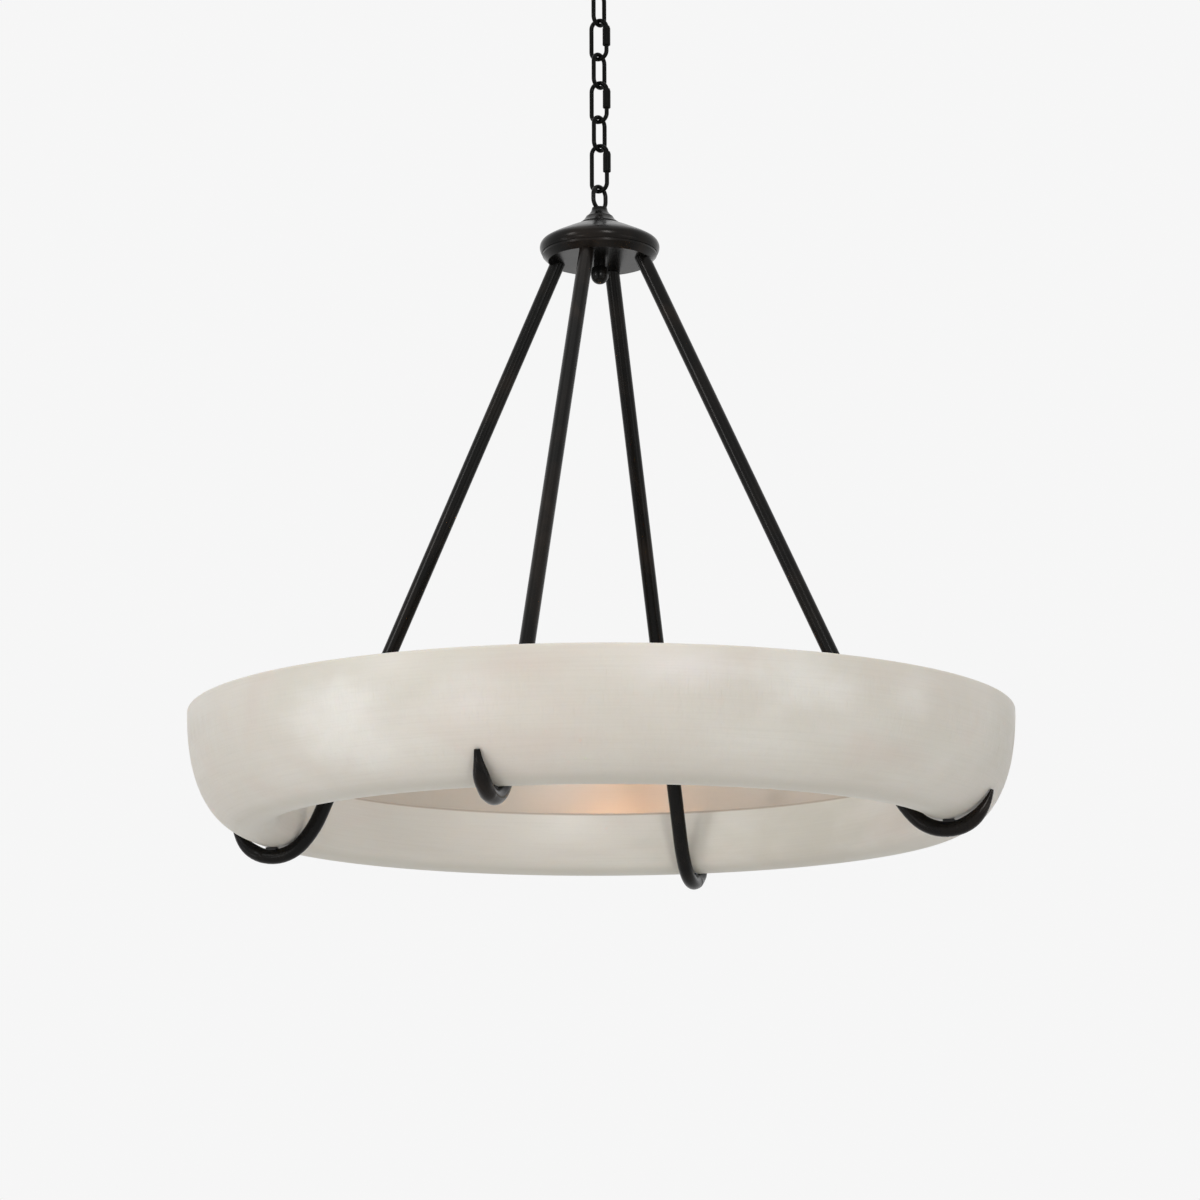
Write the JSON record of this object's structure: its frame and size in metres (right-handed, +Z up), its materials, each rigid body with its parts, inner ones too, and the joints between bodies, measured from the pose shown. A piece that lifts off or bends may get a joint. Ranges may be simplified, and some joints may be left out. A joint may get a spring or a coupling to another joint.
{
  "type": "pendant light",
  "caption": "Chain-hung alabaster ring pendant: turned stone trough ring cradled in forged hook arms from a domed hub.",
  "frame": {"origin": "centre of the ceiling strap's top face, on the lamp's vertical axis, at the ceiling", "axes": "+Z up; the four arms lie along +X (right), +Y (back), -X (left) and -Y (front)"},
  "size_m": [0.9144, 0.9144, 1.11],
  "materials": {
    "dark_bronze": "dark bronze paint, satin",
    "alabaster": "honed, translucent",
    "zinc_steel": "zinc plated",
    "black_rubber": "matt",
    "white_paint": "satin white",
    "ceramic": "unglazed",
    "lamp_glass": "frosted, lit"
  },
  "bodies": {
    "ceiling_mount": {"crossbar": "zinc_steel", "ceiling_stem": "zinc_steel", "stem_nut": "zinc_steel", "ceiling_eye": "dark_bronze"},
    "collar": {"screw_collar": "dark_bronze"},
    "cover": {"canopy": "dark_bronze"},
    "lock_4": {"lock_link_4": "dark_bronze"},
    "sleeve_4": {"lock_sleeve_4": "dark_bronze"},
    "link_3": {"chain_link_3": "dark_bronze"},
    "lock_3": {"lock_link_3": "dark_bronze"},
    "sleeve_3": {"lock_sleeve_3": "dark_bronze"},
    "link_2": {"chain_link_2": "dark_bronze"},
    "lock_2": {"lock_link_2": "dark_bronze"},
    "sleeve_2": {"lock_sleeve_2": "dark_bronze"},
    "link_1": {"chain_link_1": "dark_bronze"},
    "lock_1": {"lock_link_1": "dark_bronze"},
    "sleeve_1": {"lock_sleeve_1": "dark_bronze"},
    "lamp_frame": {"hub_eye": "dark_bronze", "hub_cap": "dark_bronze", "hub_cover": "dark_bronze", "hub_plate": "dark_bronze", "hub_stem": "zinc_steel", "hub_nut": "zinc_steel", "arm_grub_screws": "zinc_steel", "arm_right": "dark_bronze", "arm_back": "dark_bronze", "arm_left": "dark_bronze", "arm_front": "dark_bronze", "wire_bushes": "black_rubber", "rest_pads": "black_rubber"},
    "hub_finial": {"finial": "dark_bronze"},
    "ring": {"alabaster_ring": "alabaster", "lamp_carrier": "white_paint", "holder_screws": "zinc_steel", "lampholder_1": "ceramic", "lampholder_2": "ceramic", "lampholder_3": "ceramic", "lampholder_4": "ceramic"},
    "lamp_a": {"lamp_1": "lamp_glass"},
    "lamp_b": {"lamp_2": "lamp_glass"},
    "lamp_c": {"lamp_3": "lamp_glass"},
    "lamp_d": {"lamp_4": "lamp_glass"}
  },
  "joints": [
    {"name": "collar_unscrews", "type": "slide", "parent": "ceiling_mount", "child": "collar", "axis": [0, 0, 1], "range_m": [-0.024, 0]},
    {"name": "canopy_turns", "type": "hinge", "parent": "collar", "child": "cover", "pos_m": [0, 0, -0.036], "axis": [0, 0, 1], "continuous": true},
    {"name": "lock_4_swings", "type": "hinge", "parent": "ceiling_mount", "child": "lock_4", "pos_m": [0, 0, -0.0774], "axis": [0.4003, 0.9164, 0], "range_deg": [-12, 12]},
    {"name": "link_3_swings", "type": "hinge", "parent": "lock_4", "child": "link_3", "pos_m": [0, 0, -0.1186], "axis": [0.9888, -0.1495, 0], "range_deg": [-12, 12]},
    {"name": "lock_3_swings", "type": "hinge", "parent": "link_3", "child": "lock_3", "pos_m": [0, 0, -0.1528], "axis": [0.4003, 0.9164, 0], "range_deg": [-12, 12]},
    {"name": "link_2_swings", "type": "hinge", "parent": "lock_3", "child": "link_2", "pos_m": [0, 0, -0.194], "axis": [0.9888, -0.1495, 0], "range_deg": [-12, 12]},
    {"name": "lock_2_swings", "type": "hinge", "parent": "link_2", "child": "lock_2", "pos_m": [0, 0, -0.2282], "axis": [0.4003, 0.9164, 0], "range_deg": [-12, 12]},
    {"name": "link_1_swings", "type": "hinge", "parent": "lock_2", "child": "link_1", "pos_m": [0, 0, -0.2694], "axis": [0.9888, -0.1495, 0], "range_deg": [-12, 12]},
    {"name": "lock_1_swings", "type": "hinge", "parent": "link_1", "child": "lock_1", "pos_m": [0, 0, -0.3036], "axis": [0.4003, 0.9164, 0], "range_deg": [-12, 12]},
    {"name": "lamp_frame_swings", "type": "hinge", "parent": "lock_1", "child": "lamp_frame", "pos_m": [0, 0, -0.3524], "axis": [0.9888, -0.1495, 0], "range_deg": [-12, 12]},
    {"name": "sleeve_4_unscrews", "type": "slide", "parent": "lock_4", "child": "sleeve_4", "axis": [0, 0, 1], "range_m": [-0.0094, 0]},
    {"name": "sleeve_3_unscrews", "type": "slide", "parent": "lock_3", "child": "sleeve_3", "axis": [0, 0, 1], "range_m": [-0.0094, 0]},
    {"name": "sleeve_2_unscrews", "type": "slide", "parent": "lock_2", "child": "sleeve_2", "axis": [0, 0, 1], "range_m": [-0.0094, 0]},
    {"name": "sleeve_1_unscrews", "type": "slide", "parent": "lock_1", "child": "sleeve_1", "axis": [0, 0, 1], "range_m": [-0.0094, 0]},
    {"name": "finial_unscrews", "type": "slide", "parent": "lamp_frame", "child": "hub_finial", "axis": [0, 0, 1], "range_m": [-0.017, 0]},
    {"name": "ring_lifts", "type": "slide", "parent": "lamp_frame", "child": "ring", "axis": [0, 0, 1], "range_m": [0, 0.04]},
    {"name": "lamp_a_pulls", "type": "slide", "parent": "ring", "child": "lamp_a", "axis": [0.2079, -0.9781, 0], "range_m": [0, 0.017]},
    {"name": "lamp_b_pulls", "type": "slide", "parent": "ring", "child": "lamp_b", "axis": [0.9781, 0.2079, 0], "range_m": [0, 0.017]},
    {"name": "lamp_c_pulls", "type": "slide", "parent": "ring", "child": "lamp_c", "axis": [-0.2079, 0.9781, 0], "range_m": [0, 0.017]},
    {"name": "lamp_d_pulls", "type": "slide", "parent": "ring", "child": "lamp_d", "axis": [-0.9781, -0.2079, 0], "range_m": [0, 0.017]}
  ]
}
